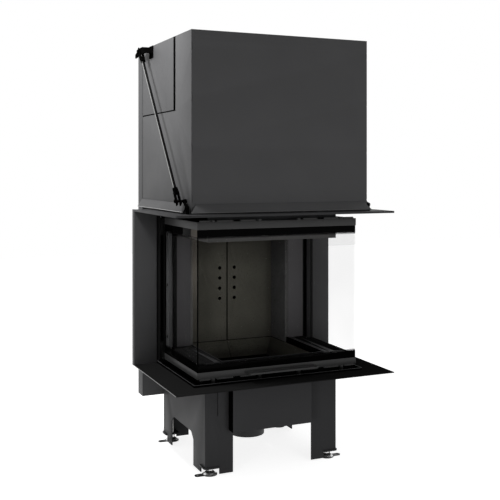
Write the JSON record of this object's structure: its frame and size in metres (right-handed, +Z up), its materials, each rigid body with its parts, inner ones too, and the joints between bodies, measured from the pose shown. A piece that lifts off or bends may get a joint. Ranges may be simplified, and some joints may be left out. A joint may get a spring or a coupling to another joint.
{
  "type": "fireplace insert",
  "caption": "Three-sided wood fireplace insert with a counterweighted lift-up glass door, firebrick chamber, smoke hood, convection casing, air box and levelling feet.",
  "frame": {"origin": "on the floor plane, centred in width and depth of the whole insert, so X and Y zero are the middle of the bounding box seen from above", "axes": "+X to the right seen from the front, +Y towards the back, +Z up; the door's front pane faces -Y"},
  "size_m": [0.788, 0.652, 1.494],
  "materials": {
    "casing_paint": "satin dark grey stove paint",
    "frame_paint": "satin dark grey stove paint",
    "firebox_paint": "matt grey heat-proof paint",
    "hood_steel": "bare rolled steel, matt",
    "black_paint": "satin black",
    "glass": "clear glass ceramic",
    "firebrick": "matt pressed firebrick",
    "grate_iron": "rough cast",
    "zinc_steel": "zinc plated",
    "foot_plastic": "matt black",
    "rubber": "matt",
    "rope_steel": "stranded steel",
    "weight_steel": "bare mill finish"
  },
  "bodies": {
    "insert": {"air_box": "frame_paint", "air_spigot": "zinc_steel", "base_tray": "frame_paint", "casing_front": "casing_paint", "casing_side_left": "casing_paint", "casing_side_right": "casing_paint", "casing_skirts": "casing_paint", "casing_top": "casing_paint", "columns": "firebox_paint", "convection_jacket": "casing_paint", "door_stops": "rubber", "firebox_shell": "firebox_paint", "flue_collar": "hood_steel", "foot_plates": "frame_paint", "guide_rails": "zinc_steel", "hearth_panels": "firebrick", "leg_left": "frame_paint", "leg_right": "frame_paint", "lining_back": "firebrick", "lining_sides": "firebrick", "lower_apron": "frame_paint", "lower_flange": "frame_paint", "pulley_brackets": "zinc_steel", "rear_bulkhead": "zinc_steel", "rear_channel": "casing_paint", "rope_bridges": "rope_steel", "service_covers": "casing_paint", "side_plates": "casing_paint", "smoke_baffle": "firebrick", "smoke_hood": "hood_steel", "stay_bolts": "zinc_steel", "stay_brackets": "black_paint", "stay_forks": "black_paint", "stay_nuts": "zinc_steel", "stay_rod": "zinc_steel", "upper_flange": "casing_paint"},
    "door": {"door_top_frame": "black_paint", "door_bottom_frame": "black_paint", "door_glass_front": "glass", "door_glass_left": "glass", "door_glass_right": "glass", "door_stiles": "black_paint", "door_handle": "black_paint", "glass_clips": "black_paint", "guide_shoes": "foot_plastic", "door_ropes": "rope_steel"},
    "counterweight_left": {"counterweight_left": "weight_steel", "weight_rope_left": "rope_steel"},
    "counterweight_right": {"counterweight_right": "weight_steel", "weight_rope_right": "rope_steel"},
    "cross_shaft": {"cross_shaft": "zinc_steel", "rear_pulleys": "zinc_steel"},
    "front_pulley_left": {"front_pulley_left": "zinc_steel"},
    "front_pulley_right": {"front_pulley_right": "zinc_steel"},
    "grate": {"grate": "grate_iron"},
    "air_slide": {"air_slide": "frame_paint"},
    "levelling_foot_front_left": {"levelling_foot_front_left": "zinc_steel"},
    "levelling_foot_front_right": {"levelling_foot_front_right": "zinc_steel"},
    "levelling_foot_rear_left": {"levelling_foot_rear_left": "zinc_steel"},
    "levelling_foot_rear_right": {"levelling_foot_rear_right": "zinc_steel"}
  },
  "joints": [
    {"name": "door_lift", "type": "slide", "parent": "insert", "child": "door", "axis": [0, 0, 1], "range_m": [0, 0.44], "deforming": ["door_ropes"]},
    {"name": "counterweight_left_fall", "type": "slide", "parent": "insert", "child": "counterweight_left", "axis": [0, 0, 1], "range_m": [-0.44, 0], "deforming": ["weight_rope_left"]},
    {"name": "counterweight_right_fall", "type": "slide", "parent": "insert", "child": "counterweight_right", "axis": [0, 0, 1], "range_m": [-0.44, 0], "deforming": ["weight_rope_right"]},
    {"name": "cross_shaft_turn", "type": "hinge", "parent": "insert", "child": "cross_shaft", "pos_m": [0, 0.266, 1.4], "axis": [1, 0, 0], "range_deg": [-850, 0]},
    {"name": "front_pulley_left_turn", "type": "hinge", "parent": "insert", "child": "front_pulley_left", "pos_m": [-0.29525, 0.16, 1.4], "axis": [1, 0, 0], "range_deg": [-850, 0]},
    {"name": "front_pulley_right_turn", "type": "hinge", "parent": "insert", "child": "front_pulley_right", "pos_m": [0.29525, 0.16, 1.4], "axis": [1, 0, 0], "range_deg": [-850, 0]},
    {"name": "grate_lift", "type": "slide", "parent": "insert", "child": "grate", "axis": [0, 0, 1], "range_m": [0, 0.06]},
    {"name": "air_control", "type": "slide", "parent": "insert", "child": "air_slide", "axis": [1, 0, 0], "range_m": [-0.095, 0]},
    {"name": "levelling_front_left", "type": "slide", "parent": "insert", "child": "levelling_foot_front_left", "axis": [0, 0, -1], "range_m": [0, 0.04]},
    {"name": "levelling_front_right", "type": "slide", "parent": "insert", "child": "levelling_foot_front_right", "axis": [0, 0, -1], "range_m": [0, 0.04]},
    {"name": "levelling_rear_left", "type": "slide", "parent": "insert", "child": "levelling_foot_rear_left", "axis": [0, 0, -1], "range_m": [0, 0.04]},
    {"name": "levelling_rear_right", "type": "slide", "parent": "insert", "child": "levelling_foot_rear_right", "axis": [0, 0, -1], "range_m": [0, 0.04]}
  ],
  "couplings": [
    {"joint": "counterweight_left_fall", "follows": "door_lift", "ratio": -1},
    {"joint": "counterweight_right_fall", "follows": "door_lift", "ratio": -1},
    {"joint": "cross_shaft_turn", "follows": "door_lift", "rad_per_m": -33.333},
    {"joint": "front_pulley_left_turn", "follows": "door_lift", "rad_per_m": -33.333},
    {"joint": "front_pulley_right_turn", "follows": "door_lift", "rad_per_m": -33.333}
  ]
}
